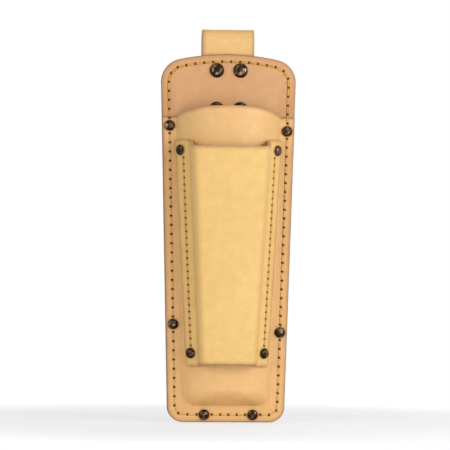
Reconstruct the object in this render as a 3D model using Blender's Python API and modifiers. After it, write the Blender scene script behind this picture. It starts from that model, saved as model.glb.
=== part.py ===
"""A leather belt sheath for two garden tools: a long pouch on a two-ply back, and a second,
smaller pocket sewn and riveted on the pouch's front.

Frame: metres, +Z up, -Y to the front, +Y towards the wearer, and the origin at the middle of the
belt channel, which carries the sheath. The sizes below count height from the sheath's bottom edge
and depth from the back panel's front face. One empty moves the whole sheath into the frame.
"""

import math

import bmesh
import bpy
from mathutils import Vector

MM = 0.001

# Clearances
GAP = 0.3 * MM  # what pieces that touch keep between them
CUT_MARGIN = 1.5 * MM  # how far a hole's cutter runs past the leather

# Back: two plies with one outline
BACK_HEIGHT = 239 * MM
FLOOR_HALF_WIDTH = 37.9 * MM  # where the side lines meet the bottom edge
SIDE_TAPER = 0.027  # half width gained for each unit of height
BOTTOM_CORNER_RADIUS = 10 * MM
SHOULDER_RADIUS = 15 * MM
TOP_EDGE_RADIUS = 150 * MM
PANEL_THICKNESS = 2.4 * MM
LINER_THICKNESS = 1.6 * MM

# Pouch: a moulded sheet with a flat rim
BARE_TOP = 41.5 * MM  # of the back, over the pouch's rim
POUCH_THICKNESS = 2.2 * MM
POUCH_RIM_WIDTH = 10.3 * MM
POUCH_LIP_RISE = 7.3 * MM  # of the mouth's middle over the rim
POUCH_FOOT = 12 * MM  # where the moulding starts above the bottom edge
POUCH_FOOT_RADIUS = 8 * MM
POUCH_TOE_LENGTH = 10 * MM  # the moulding rises to its full depth over this
POUCH_DEPTH_LOW = 11 * MM
POUCH_DEPTH_HIGH = 18.5 * MM
DOME_POWER = 3

# Front pocket: a moulded strip, open at both ends, whose flanges lie on the pouch's shoulders.
# Pairs of sizes are at its low end and its high end, and insets count from the moulding's edge.
POCKET_THICKNESS = 2.0 * MM
POCKET_BOTTOM = 37 * MM
POCKET_DROP = 14.5 * MM  # of its top under the pouch's rim
POCKET_LIP_DROP = 4.6 * MM
POCKET_HEM_RISE = 1.6 * MM
POCKET_EDGE_INSETS = (4.7 * MM, 1.5 * MM)
POCKET_SEAM_INSETS = (7.7 * MM, 5.5 * MM)
POCKET_FOOT_INSETS = (12.3 * MM, 9.7 * MM)  # where the flange meets the tunnel's wall
POCKET_FACE_INSETS = (11.8 * MM, 8.5 * MM)  # the tunnel's own inner side
POCKET_ROOM = (6 * MM, 12.5 * MM)  # clear depth over the pouch's crown
POCKET_CORNER_RADIUS = 3.2 * MM

# Belt strap: one strip, folded over into a loop behind the back
STRAP_WIDTH = 34 * MM
STRAP_THICKNESS = 2.4 * MM
STRAP_STAND = 16.5 * MM  # of its fold over the back's top edge
STRAP_FOLD_RADIUS = 5.5 * MM  # of its middle line
STRAP_TAIL = 7.2 * MM  # leather past a rivet's middle
STRAP_SLOPE_LENGTH = 14 * MM

# Seams
SEAM_INSET = 4.8 * MM
THREAD_RADIUS = 0.45 * MM

# Rivets: (cap radius, cap height, base radius, base height, post radius)
SMALL_RIVET = (3.35 * MM, 1.9 * MM, 3.1 * MM, 1.3 * MM, 1.3 * MM)
LARGE_RIVET = (4.6 * MM, 2.3 * MM, 4.3 * MM, 1.5 * MM, 1.6 * MM)
CAP_RIM = 0.5 * MM
CAP_WALL = 0.7 * MM  # metal over the post's socket
RIM_RIVET_DROPS = {"left": 5.2 * MM, "right": 8.3 * MM}  # under the rim's top
MID_RIVET_HEIGHTS = {"left": 63.5 * MM, "right": 58.5 * MM}
FLOOR_RIVETS = {"left": -14.2 * MM, "right": 17.4 * MM}
POCKET_RIVET_INSETS = (7.7 * MM, 4.1 * MM)
POCKET_RIVET_ENDS = (8.2 * MM, 6.5 * MM)  # from the flange's low and high ends
POCKET_RIVET_SLACK = 0.3 * MM  # room behind it for a flat rivet base on the pouch's curved wall
STRAP_RIVET_SPACING = 15.4 * MM
STRAP_RIVET_DROPS = {"upper": 10.6 * MM, "lower": 35.5 * MM}  # under the back's top edge

# Smoothness
FLOOR_STEPS = 4
CORNER_STEPS = 5
SIDE_STEPS = 14
SHOULDER_STEPS = 7
TOP_STEPS = 6
DOME_STEPS = 8
POCKET_ROWS = 13
FOLD_STEPS = 10
SLOPE_STEPS = 7
RIVET_SIDES = 16
HOLE_SIDES = 12
THREAD_SIDES = 1  # as a curve's bevel_resolution, so six sides

# Materials: (colour, roughness, metallic)
FINISHES = {
    "pouch_leather": ((0.84, 0.56, 0.24), 0.5, 0.0),
    "panel_leather": ((0.66, 0.37, 0.19), 0.6, 0.0),
    "liner_leather": ((0.62, 0.41, 0.24), 0.75, 0.0),
    "strap_leather": ((0.80, 0.51, 0.22), 0.5, 0.0),
    "rivet_metal": ((0.33, 0.28, 0.24), 0.25, 1.0),
    "thread": ((0.72, 0.42, 0.09), 0.7, 0.0),
}

# Heights that follow from the sizes
POUCH_RIM_TOP = BACK_HEIGHT - BARE_TOP
POUCH_MOUTH = POUCH_RIM_TOP + POUCH_LIP_RISE
POCKET_TOP = POUCH_RIM_TOP - POCKET_DROP
POCKET_RIVET_BOTTOM = POCKET_BOTTOM + POCKET_RIVET_ENDS[0]
POCKET_RIVET_TOP = POCKET_TOP - POCKET_RIVET_ENDS[1]
STRAP_TOP = BACK_HEIGHT + STRAP_STAND
STRAP_RIVET_UPPER = BACK_HEIGHT - STRAP_RIVET_DROPS["upper"]
STRAP_RIVET_LOWER = BACK_HEIGHT - STRAP_RIVET_DROPS["lower"]

# Depths that follow from the sizes, -Y to the front
PANEL_BACK = PANEL_THICKNESS
LINER_FRONT = PANEL_BACK + GAP
LINER_BACK = LINER_FRONT + LINER_THICKNESS
RIM_BACK = -GAP
RIM_FRONT = RIM_BACK - POUCH_THICKNESS
STRAP_NEAR = LINER_BACK + GAP + STRAP_THICKNESS / 2  # its middle line where it lies on the liner
STRAP_FAR = STRAP_NEAR + 2 * STRAP_FOLD_RADIUS
THREAD_LIFT = GAP + THREAD_RADIUS  # a thread's middle over the leather that it lies on


# ---------------------------------------------------------------- outline

SIDE_ANGLE = -math.atan(SIDE_TAPER)  # of the right side's outward normal
SIDE_NORMAL = Vector((math.cos(SIDE_ANGLE), math.sin(SIDE_ANGLE)))
TOP_CENTRE = Vector((0, BACK_HEIGHT - TOP_EDGE_RADIUS))


def arc(centre, radius, start, end, steps):
    """Points (x, height) round an arc, both ends included."""
    angles = [start + (end - start) * i / steps for i in range(steps + 1)]
    return [centre + radius * Vector((math.cos(a), math.sin(a))) for a in angles]


def side_x(inset, height):
    """Where the right side line, moved in by inset, is at a height."""
    return FLOOR_HALF_WIDTH + SIDE_TAPER * height - inset / SIDE_NORMAL.x


def shoulder_centre():
    """The middle of the shoulder's arc, which touches the side line and the top edge from inside."""
    start = Vector((side_x(SHOULDER_RADIUS, 0), 0))
    along = Vector((-SIDE_NORMAL.y, SIDE_NORMAL.x))
    offset = start - TOP_CENTRE
    reach = TOP_EDGE_RADIUS - SHOULDER_RADIUS
    half_b = offset.dot(along)
    travel = -half_b + math.sqrt(half_b**2 - offset.length_squared + reach**2)
    return start + travel * along


def lower_half(inset, floor, radius, top):
    """The right half of a U: from the middle of its floor, round its corner and up its side to top."""
    centre = Vector((side_x(inset + radius, floor + radius), floor + radius))
    corner = arc(centre, radius, -math.pi / 2, SIDE_ANGLE, CORNER_STEPS)
    floor_line = [Vector((centre.x * i / FLOOR_STEPS, floor)) for i in range(FLOOR_STEPS)]
    end = Vector((side_x(inset, top), top))
    side = [corner[-1].lerp(end, i / SIDE_STEPS) for i in range(1, SIDE_STEPS + 1)]
    return floor_line + corner + side


def right_half(inset):
    """The right half of the back's outline moved in by inset, from the floor's middle to the top's."""
    low = BOTTOM_CORNER_RADIUS
    low_centre = Vector((side_x(low, low), low))
    high_centre = shoulder_centre()
    turn = (high_centre - TOP_CENTRE).angle_signed(Vector((1, 0)))
    points = [Vector((0, inset))]
    points += arc(low_centre, low - inset, -math.pi / 2, SIDE_ANGLE, CORNER_STEPS)
    points += arc(high_centre, SHOULDER_RADIUS - inset, SIDE_ANGLE, turn, SHOULDER_STEPS)
    return points + arc(TOP_CENTRE, TOP_EDGE_RADIUS - inset, turn, math.pi / 2, TOP_STEPS)[1:]


def whole_loop(inset):
    """The closed outline moved in by inset, anticlockwise from the floor's middle."""
    right = right_half(inset)
    left = [Vector((-p.x, p.y)) for p in reversed(right[1:-1])]
    return right + left


# ---------------------------------------------------------------- moulded surfaces


def between(low_high, share):
    """A size that changes evenly from its low value to its high one."""
    return low_high[0] + (low_high[1] - low_high[0]) * share


def pouch_depth(height):
    """The pouch's inner depth at its middle."""
    share = (height - POUCH_FOOT) / (POUCH_MOUTH - POUCH_FOOT)
    return between((POUCH_DEPTH_LOW, POUCH_DEPTH_HIGH), share)


def dome(x, height):
    """The pouch's inner face above its toe, and its outward normal there."""
    depth = pouch_depth(height)
    half_width = side_x(POUCH_RIM_WIDTH, height)
    share = abs(x) / half_width
    point = Vector((x, RIM_BACK - depth * (1 - share**DOME_POWER), height))
    across = math.copysign(DOME_POWER * depth * share ** (DOME_POWER - 1) / half_width, x)
    deepening = (POUCH_DEPTH_HIGH - POUCH_DEPTH_LOW) / (POUCH_MOUTH - POUCH_FOOT)
    upward = -deepening * (1 - share**DOME_POWER) - SIDE_TAPER * share * abs(across)
    return point, Vector((across, -1, upward)).normalized()


def over_dome(x, height, lift):
    """A point at a distance over the pouch's inner face."""
    point, normal = dome(x, height)
    return point + lift * normal


def pocket_share(height):
    """How far a height is from the front pocket's low end to its high end."""
    return (height - POCKET_BOTTOM) / (POCKET_TOP - POCKET_BOTTOM)


def pocket_x(insets, share):
    """Half the width that a pair of insets leaves between the moulding's edges."""
    ends = [side_x(POUCH_RIM_WIDTH + i, z) for i, z in zip(insets, (POCKET_BOTTOM, POCKET_TOP))]
    return between(ends, share)


def pouch_rows():
    """Rows of points over the right half of the pouch's inner face, from its floor to its mouth."""
    edge = lower_half(0, 0, BOTTOM_CORNER_RADIUS, POUCH_RIM_TOP)
    foot = lower_half(POUCH_RIM_WIDTH, POUCH_FOOT, POUCH_FOOT_RADIUS, POUCH_RIM_TOP)
    toe = POUCH_FOOT + POUCH_TOE_LENGTH
    side_start = foot[FLOOR_STEPS + CORNER_STEPS].y
    rows = []
    for outer, inner in zip(edge, foot):
        climb = max(0, inner.y - side_start) / (POUCH_RIM_TOP - side_start)
        spine = between((toe, POUCH_MOUTH), climb)
        row = [Vector((outer.x, RIM_BACK, outer.y))]
        for step in range(DOME_STEPS + 1):
            reach = 1 - step / DOME_STEPS
            height = spine + (inner.y - spine) * reach**DOME_POWER
            widening = side_x(POUCH_RIM_WIDTH, height) / side_x(POUCH_RIM_WIDTH, inner.y)
            depth = pouch_depth(height) * (1 - reach**DOME_POWER)
            row.append(Vector((inner.x * widening * reach, RIM_BACK - depth, height)))
        rows.append(row)
    return rows


def pocket_rows():
    """Rows of points over the right half of the front pocket's inner face, low end to high end."""
    lift = POUCH_THICKNESS + GAP
    radius = POCKET_CORNER_RADIUS
    rows = []
    for step in range(POCKET_ROWS + 1):
        share = step / POCKET_ROWS

        def height(forward):
            """The row's height, where forward is 0 on the flange and 1 on the tunnel's face."""
            low = POCKET_BOTTOM + POCKET_HEM_RISE * forward
            return between((low, POCKET_TOP - POCKET_LIP_DROP * forward), share)

        flange = [pocket_x(i, share) for i in (POCKET_EDGE_INSETS, POCKET_SEAM_INSETS, POCKET_FOOT_INSETS)]
        row = [over_dome(x, height(0), lift) for x in flange]
        row.insert(1, over_dome((flange[0] + flange[1]) / 2, height(0), lift))
        row.insert(3, over_dome((flange[1] + flange[2]) / 2, height(0), lift))
        face_depth = over_dome(0, height(1), lift + between(POCKET_ROOM, share)).y
        side = pocket_x(POCKET_FACE_INSETS, share)
        slant = radius * (1 - math.sqrt(0.5))
        wall = (row[-1].y + face_depth + radius) / 2
        row.append(Vector((side, wall, height(0.5))))
        row.append(Vector((side, face_depth + radius, height(0.8))))
        row.append(Vector((side - slant, face_depth + slant, height(0.95))))
        row.append(Vector((side - radius, face_depth, height(1))))
        row.append(Vector(((side - radius) / 2, face_depth, height(1))))
        row.append(Vector((0, face_depth, height(1))))
        rows.append(row)
    return rows


def strap_line():
    """The strap's middle line, (depth, height), from its front end over the fold to its back end."""
    fold_height = STRAP_TOP - STRAP_THICKNESS / 2 - STRAP_FOLD_RADIUS
    middle = (STRAP_NEAR + STRAP_FAR) / 2
    slope_end = STRAP_RIVET_LOWER + STRAP_TAIL
    slope_start = slope_end + STRAP_SLOPE_LENGTH
    line = [Vector((STRAP_NEAR, STRAP_RIVET_UPPER - STRAP_TAIL))]
    line += arc(Vector((middle, fold_height)), STRAP_FOLD_RADIUS, math.pi, 0, FOLD_STEPS)
    for step in range(SLOPE_STEPS + 1):
        share = step / SLOPE_STEPS
        swing = (1 + math.cos(math.pi * share)) / 2
        depth = between((STRAP_NEAR, STRAP_FAR), swing)
        line.append(Vector((depth, slope_start - share * STRAP_SLOPE_LENGTH)))
    line.append(Vector((STRAP_NEAR, STRAP_RIVET_LOWER - STRAP_TAIL)))
    return line


# ---------------------------------------------------------------- Blender objects


def clear_scene():
    for obj in list(bpy.data.objects):
        bpy.data.objects.remove(obj, do_unlink=True)


def new_collection(name):
    collection = bpy.data.collections.new(name)
    bpy.context.scene.collection.children.link(collection)
    return collection


def new_material(name):
    colour, roughness, metallic = FINISHES[name]
    material = bpy.data.materials.new(name)
    material.use_nodes = True
    shader = material.node_tree.nodes["Principled BSDF"]
    shader.inputs["Base Color"].default_value = (*colour, 1)
    shader.inputs["Roughness"].default_value = roughness
    shader.inputs["Metallic"].default_value = metallic
    return material


def place(name, data, material, where=None):
    """A named object of the sheath, hung on the empty that carries it all."""
    obj = bpy.data.objects.new(name, data)
    (where or SHEATH).objects.link(obj)
    obj.parent = CARRIER
    if material:
        data.materials.append(MATERIALS[material])
    return obj


def add_poly_spline(curve, points, cyclic):
    spline = curve.splines.new("POLY")
    spline.points.add(len(points) - 1)
    for target, point in zip(spline.points, points):
        target.co = (*point, 1)
    spline.use_cyclic_u = cyclic


def ply(name, material, front, thickness, holes):
    """A flat leather ply with the back's outline and round holes, given as ((x, height), radius)."""
    curve = bpy.data.curves.new(name, "CURVE")
    curve.dimensions = "2D"
    curve.fill_mode = "BOTH"
    curve.extrude = thickness / 2
    add_poly_spline(curve, [(*p, 0) for p in whole_loop(0)], True)
    for centre, radius in holes:
        circle = arc(Vector(centre), radius, 0, 2 * math.pi, HOLE_SIDES)[:-1]
        add_poly_spline(curve, [(*p, 0) for p in circle], True)
    obj = place(name, curve, material)
    obj.rotation_euler.x = math.pi / 2
    obj.location.y = front + thickness / 2
    return obj


def grid_mesh(name, rows):
    """A sheet of quads through rows of points, facing the front."""
    bm = bmesh.new()
    bmesh.ops.create_grid(bm, x_segments=len(rows[0]) - 1, y_segments=len(rows) - 1, size=1)
    in_order = sorted(bm.verts, key=lambda v: (round(v.co.y, 5), round(v.co.x, 5)))
    for vertex, point in zip(in_order, [p for row in rows for p in row]):
        vertex.co = point
    bmesh.ops.remove_doubles(bm, verts=bm.verts, dist=GAP / 100)
    bmesh.ops.recalc_face_normals(bm, faces=bm.faces)
    if sum(f.normal.y * f.calc_area() for f in bm.faces) > 0:
        bmesh.ops.reverse_faces(bm, faces=bm.faces)
    mesh = bpy.data.meshes.new(name)
    bm.to_mesh(mesh)
    bm.free()
    return mesh


def leather_sheet(name, material, rows, thickness, mirrored=True, offset=1):
    """A sheet through rows of points, thickened to its front and cut by every hole cutter."""
    obj = place(name, grid_mesh(name, rows), material)
    if mirrored:
        mirror = obj.modifiers.new("halves", "MIRROR")
        mirror.merge_threshold = 0.0001
    solidify = obj.modifiers.new("thickness", "SOLIDIFY")
    solidify.thickness = thickness
    solidify.offset = offset
    solidify.use_even_offset = True
    holes = obj.modifiers.new("holes", "BOOLEAN")
    holes.operand_type = "COLLECTION"
    holes.collection = CUTTERS
    holes.solver = "EXACT"
    return obj


def turned(name, material, profile, seat, axis):
    """A turned piece: profile is (radius, height) down its outer side, and height runs along axis."""
    mesh = bpy.data.meshes.new(name)
    edges = [(i, i + 1) for i in range(len(profile) - 1)]
    mesh.from_pydata([(r, 0, h) for r, h in profile], edges, [])
    obj = place(name, mesh, material)
    obj.location = seat
    obj.rotation_euler = axis.to_track_quat("Z", "Y").to_euler()
    screw = obj.modifiers.new("turned", "SCREW")
    screw.steps = screw.render_steps = RIVET_SIDES
    screw.use_merge_vertices = True
    screw.merge_threshold = 0.00001
    return obj


def crown(radius, edge, height):
    """The profile of a low dome, (radius, height), from its top to its rim at the height edge."""
    tilts = [math.radians(d) for d in (0, 35, 65, 90)]
    return [(radius * math.sin(a), edge + (height - edge) * math.cos(a)) for a in tilts]


def rivet(name, sizes, seat, axis, grip):
    """A double-cap rivet: a cap on the front leather and a post with a domed base behind it.

    seat is where its axis leaves the front leather, axis points out of the front, and grip is how
    much leather it holds.
    """
    cap_radius, cap_height, base_radius, base_height, post_radius = sizes
    socket = GAP + cap_height - CAP_WALL
    cap = crown(cap_radius, GAP + CAP_RIM, GAP + cap_height)
    cap += [(cap_radius, GAP), (post_radius + GAP, GAP), (post_radius + GAP, socket), (0, socket)]
    turned(name + "_cap", "rivet_metal", cap, seat, axis)
    tip, base = socket - GAP, -grip - GAP
    dome_side = [(r, 2 * base - CAP_RIM - h) for r, h in crown(base_radius, base, base + base_height - CAP_RIM)]
    post = [(0, tip), (post_radius, tip), (post_radius, base), (base_radius, base)]
    post += reversed(dome_side)
    turned(name + "_post", "rivet_metal", post, seat, axis)
    bpy.ops.mesh.primitive_cylinder_add(
        vertices=HOLE_SIDES,
        radius=post_radius + GAP,
        depth=grip + 2 * CUT_MARGIN,
        location=seat - axis * grip / 2,
        rotation=axis.to_track_quat("Z", "Y").to_euler(),
    )
    hide_as_cutter(bpy.context.object, name + "_hole")


def hide_as_cutter(obj, name):
    obj.name = name
    for collection in list(obj.users_collection):
        collection.objects.unlink(obj)
    CUTTERS.objects.link(obj)
    obj.parent = CARRIER
    obj.hide_render = True
    obj.display_type = "WIRE"


def tube_curve(name, points, radius):
    curve = bpy.data.curves.new(name, "CURVE")
    curve.dimensions = "3D"
    curve.bevel_depth = radius
    curve.bevel_resolution = THREAD_SIDES
    curve.use_fill_caps = True
    add_poly_spline(curve, points, False)
    return curve


def thread(name, points):
    return place(name, tube_curve(name, points, THREAD_RADIUS), "thread")


def groove(name, points):
    """A cutter that leaves room for a thread along points."""
    curve = place(name + "_line", tube_curve(name, points, THREAD_RADIUS + GAP), None, CUTTERS)
    bpy.context.view_layer.update()
    mesh = bpy.data.meshes.new_from_object(curve.evaluated_get(bpy.context.evaluated_depsgraph_get()))
    bpy.data.objects.remove(curve)
    bm = bmesh.new()
    bm.from_mesh(mesh)
    bmesh.ops.remove_doubles(bm, verts=bm.verts, dist=GAP / 100)
    bmesh.ops.recalc_face_normals(bm, faces=bm.faces)
    bm.to_mesh(mesh)
    bm.free()
    hide_as_cutter(place(name, mesh, None, CUTTERS), name)


# ---------------------------------------------------------------- places of rivets and seams


def seam_rivet_places():
    """The name and (x, height) of each rivet on the outer seam, anticlockwise from the floor."""
    places = {}
    for name, side in (("left", -1), ("right", 1)):
        places["bottom_" + name] = (FLOOR_RIVETS[name], SEAM_INSET)
        heights = {"mid_": MID_RIVET_HEIGHTS[name], "top_": POUCH_RIM_TOP - RIM_RIVET_DROPS[name]}
        for row, height in heights.items():
            places[row + name] = (side * side_x(SEAM_INSET, height), height)
    order = ["bottom_right", "mid_right", "top_right", "top_left", "mid_left", "bottom_left"]
    return {name: Vector(places[name]) for name in order}


def strap_rivet_places():
    """The name and (x, height) of each of the strap's rivets."""
    heights = {"upper": STRAP_RIVET_UPPER, "lower": STRAP_RIVET_LOWER}
    sides = {"left": -STRAP_RIVET_SPACING / 2, "right": STRAP_RIVET_SPACING / 2}
    return {f"{h}_{s}": Vector((x, z)) for h, z in heights.items() for s, x in sides.items()}


def distances(points):
    """How far along a line each of its points is."""
    along = [0]
    for a, b in zip(points, points[1:]):
        along.append(along[-1] + (b - a).length)
    return along


def nearest(points, target):
    """How far along a line the spot nearest to target is."""
    along = distances(points)
    best = None
    for a, b, start in zip(points, points[1:], along):
        share = max(0, min(1, (target - a).dot(b - a) / (b - a).length_squared))
        miss = (a.lerp(b, share) - target).length
        if best is None or miss < best[0]:
            best = (miss, start + share * (b - a).length)
    return best[1]


def stretch(points, start, end):
    """The part of a line between two distances along it."""
    along = distances(points)

    def at(distance):
        for a, b, low, high in zip(points, points[1:], along, along[1:]):
            if distance <= high:
                return a.lerp(b, (distance - low) / (high - low))
        return points[-1]

    inside = [p for p, d in zip(points, along) if start + THREAD_RADIUS < d < end - THREAD_RADIUS]
    return [at(start), *inside, at(end)]


def seam_stretches(end_clearance):
    """The outer seam's flat line between each rivet and the next, by the two rivets' names."""
    loop = whole_loop(SEAM_INSET)
    twice = loop + loop + loop[:1]
    length = distances(twice)[-1] / 2
    places = seam_rivet_places()
    names = list(places)
    spots = [nearest(loop + loop[:1], places[name]) for name in names]
    lines = {}
    for i, name in enumerate(names):
        follower = names[(i + 1) % len(names)]
        start, end = spots[i], spots[(i + 1) % len(names)]
        end += length if end < start else 0
        lines[name, follower] = stretch(twice, start + end_clearance, end - end_clearance)
    return lines


def on_front(line):
    """An outer seam line laid on the pouch's rim or, above the rim, stepped down on the panel."""
    step_height = POUCH_RIM_TOP + THREAD_LIFT
    rim, panel = RIM_FRONT - THREAD_LIFT, -THREAD_LIFT
    points = []
    for a, b in zip(line, line[1:] + line[-1:]):
        points.append(Vector((a.x, rim if a.y < step_height else panel, a.y)))
        if (a.y < step_height) != (b.y < step_height):
            x = a.lerp(b, (step_height - a.y) / (b.y - a.y)).x
            depths = (rim, panel) if a.y < b.y else (panel, rim)
            points += [Vector((x, depth, step_height)) for depth in depths]
    return points


def on_back(line):
    """An outer seam line laid on the liner's back."""
    return [Vector((p.x, LINER_BACK + THREAD_LIFT, p.y)) for p in line]


def pocket_seam(side, lift, end_clearance):
    """The front pocket's seam on one side, at a distance over the pouch's inner face."""
    low, high = POCKET_RIVET_BOTTOM + end_clearance, POCKET_RIVET_TOP - end_clearance
    heights = [between((low, high), i / POCKET_ROWS) for i in range(POCKET_ROWS + 1)]
    return [over_dome(side * pocket_x(POCKET_SEAM_INSETS, pocket_share(z)), z, lift) for z in heights]


# ---------------------------------------------------------------- the sheath


def build_rivets():
    front = Vector((0, -1, 0))
    back_grip = LINER_BACK
    for name, spot in seam_rivet_places().items():
        seat = Vector((spot.x, RIM_FRONT, spot.y))
        rivet("seam_rivet_" + name, SMALL_RIVET, seat, front, back_grip - RIM_FRONT)
    for name, spot in strap_rivet_places().items():
        seat = Vector((spot.x, 0, spot.y))
        rivet("strap_rivet_" + name, LARGE_RIVET, seat, front, back_grip + GAP + STRAP_THICKNESS)
    grip = POUCH_THICKNESS + GAP + POCKET_THICKNESS
    for side_name, side in (("left", -1), ("right", 1)):
        for end, height in (("bottom", POCKET_RIVET_BOTTOM), ("top", POCKET_RIVET_TOP)):
            half_width = pocket_x(POCKET_RIVET_INSETS, pocket_share(height))
            point, normal = dome(side * half_width, height)
            seat = point + grip * normal
            name = f"pocket_rivet_{end}_{side_name}"
            rivet(name, SMALL_RIVET, seat, normal, grip + POCKET_RIVET_SLACK)


def build_threads():
    cap_clearance = SMALL_RIVET[0] + THREAD_LIFT
    base_clearance = SMALL_RIVET[2] + THREAD_LIFT
    for (start, end), line in seam_stretches(cap_clearance).items():
        thread(f"needle_thread_{start}_to_{end}", on_front(line))
    for (start, end), line in seam_stretches(base_clearance).items():
        points = on_back(line)
        thread(f"bobbin_thread_{start}_to_{end}", points)
        if (start, end) == ("top_right", "top_left"):
            groove("strap_groove", points)
    over = POUCH_THICKNESS + GAP + POCKET_THICKNESS + THREAD_LIFT
    for side_name, side in (("left", -1), ("right", 1)):
        thread("pocket_needle_thread_" + side_name, pocket_seam(side, over, cap_clearance))
        thread("pocket_bobbin_thread_" + side_name, pocket_seam(side, -THREAD_LIFT, base_clearance))


def build_leather():
    seam_hole = SMALL_RIVET[4] + GAP
    strap_hole = LARGE_RIVET[4] + GAP
    holes = [(spot, seam_hole) for spot in seam_rivet_places().values()]
    holes += [(spot, strap_hole) for spot in strap_rivet_places().values()]
    ply("back_panel", "panel_leather", 0, PANEL_THICKNESS, holes)
    ply("back_liner", "liner_leather", LINER_FRONT, LINER_THICKNESS, holes)
    leather_sheet("main_pouch", "pouch_leather", pouch_rows(), POUCH_THICKNESS)
    leather_sheet("front_pocket", "pouch_leather", pocket_rows(), POCKET_THICKNESS)
    half = STRAP_WIDTH / 2
    strap_rows = [[Vector((x, p.x, p.y)) for x in (-half, half)] for p in strap_line()]
    leather_sheet("belt_strap", "strap_leather", strap_rows, STRAP_THICKNESS, mirrored=False, offset=0)


clear_scene()
SHEATH = new_collection("belt_sheath")
CUTTERS = new_collection("cutters")
MATERIALS = {name: new_material(name) for name in FINISHES}
CARRIER = bpy.data.objects.new("belt_channel", None)
SHEATH.objects.link(CARRIER)
channel_floor = STRAP_RIVET_LOWER + STRAP_TAIL + STRAP_SLOPE_LENGTH / 2
channel_roof = STRAP_TOP - STRAP_THICKNESS
CARRIER.location = (0, -(STRAP_NEAR + STRAP_FAR) / 2, -(channel_floor + channel_roof) / 2)

build_rivets()
build_threads()
build_leather()
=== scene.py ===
"""Looks of the leather belt sheath: every leather piece with its rounded, burnished edges and punched
holes, the seams stitch by stitch, and the rivets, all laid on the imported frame.

Leather points are worked out in the sheath's own axes, metres: x across, y from the back panel's
front face towards the wearer, z up from the bottom edge. to_frame moves them into the frame.
"""

import math

import bmesh
import bpy
import numpy as np
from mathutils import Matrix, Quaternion, Vector, kdtree


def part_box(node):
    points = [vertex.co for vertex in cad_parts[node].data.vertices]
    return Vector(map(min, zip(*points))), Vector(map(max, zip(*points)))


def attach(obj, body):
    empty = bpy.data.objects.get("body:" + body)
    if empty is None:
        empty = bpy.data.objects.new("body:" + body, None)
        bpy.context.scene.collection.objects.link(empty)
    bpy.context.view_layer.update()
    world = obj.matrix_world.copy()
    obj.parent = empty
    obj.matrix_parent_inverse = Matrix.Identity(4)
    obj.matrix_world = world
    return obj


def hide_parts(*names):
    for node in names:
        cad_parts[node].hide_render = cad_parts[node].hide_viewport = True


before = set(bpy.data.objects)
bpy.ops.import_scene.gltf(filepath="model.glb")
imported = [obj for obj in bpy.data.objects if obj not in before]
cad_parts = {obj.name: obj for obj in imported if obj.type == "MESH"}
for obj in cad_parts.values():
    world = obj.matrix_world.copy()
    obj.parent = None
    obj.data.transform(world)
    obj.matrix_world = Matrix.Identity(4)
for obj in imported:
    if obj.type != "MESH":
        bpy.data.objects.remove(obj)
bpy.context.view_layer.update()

MM = 0.001
BODY = "root"
GAP = 0.3 * MM

# The back's outline
PANEL_LOW, PANEL_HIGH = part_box("back_panel")
LINER_LOW, LINER_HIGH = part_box("back_liner")
POUCH_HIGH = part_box("main_pouch")[1]
STRAP_LOW, STRAP_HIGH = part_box("belt_strap")
BACK_HEIGHT = PANEL_HIGH.z - PANEL_LOW.z
PANEL_THICKNESS = PANEL_HIGH.y - PANEL_LOW.y
LINER_THICKNESS = LINER_HIGH.y - LINER_LOW.y
LINER_BACK = LINER_HIGH.y - PANEL_LOW.y
FLOOR_HALF_WIDTH = 37.9 * MM
SIDE_TAPER = 0.027
BOTTOM_CORNER_RADIUS = 10 * MM
SHOULDER_RADIUS = 15 * MM
TOP_EDGE_RADIUS = 150 * MM

# The pouch
POUCH_THICKNESS = 2.2 * MM
POUCH_RIM_WIDTH = 10.3 * MM
POUCH_MOUTH = POUCH_HIGH.z - PANEL_LOW.z
POUCH_LIP_RISE = 7.3 * MM
POUCH_RIM_TOP = POUCH_MOUTH - POUCH_LIP_RISE
POUCH_FOOT = 12 * MM
POUCH_FOOT_RADIUS = 8 * MM
POUCH_TOE_LENGTH = 10 * MM
POUCH_DEPTHS = (11 * MM, 18.5 * MM)
DOME_POWER = 3
TOE_POWER = 1.7  # the toe's upper end is softer than the dome's sides
RIM_BACK = -GAP

# The front pocket: pairs are at its low end and its high end
POCKET_THICKNESS = 2.0 * MM
POCKET_BOTTOM = 37 * MM
POCKET_TOP = POUCH_RIM_TOP - 14.5 * MM
POCKET_LIP_DROP = 4.6 * MM
POCKET_HEM_RISE = 1.6 * MM
POCKET_EDGE_INSETS = (4.7 * MM, 1.5 * MM)
POCKET_SEAM_INSETS = (7.7 * MM, 5.5 * MM)
POCKET_FOOT_INSETS = (12.3 * MM, 9.7 * MM)
POCKET_FACE_INSETS = (11.8 * MM, 8.5 * MM)
POCKET_ROOM = (6 * MM, 12.5 * MM)
POCKET_CORNER_RADIUS = 3.2 * MM
POCKET_CROWN = 0.5 * MM  # the tunnel's face bulges by this
POCKET_LIFT = POUCH_THICKNESS + GAP
POCKET_RIVET_ENDS = (8.2 * MM, 6.5 * MM)

# The belt strap
STRAP_THICKNESS = 2.4 * MM
STRAP_FOLD_RADIUS = 5.5 * MM
STRAP_NEAR = LINER_BACK + GAP + STRAP_THICKNESS / 2
STRAP_FAR = STRAP_NEAR + 2 * STRAP_FOLD_RADIUS
STRAP_TAIL = 7.2 * MM
STRAP_SLOPE_LENGTH = 14 * MM
STRAP_RIVET_DROPS = (10.6 * MM, 35.5 * MM)

STRAP_LEG_ROWS = 40
STRAP_FOLD_ROWS = 36
FOLD_MIDDLE = STRAP_LEG_ROWS + STRAP_FOLD_ROWS // 2
WRINKLED_LENGTH = 11 * MM
WRINKLE_SPACING = 3.4 * MM
WRINKLE_DEPTH = 0.22 * MM

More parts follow.
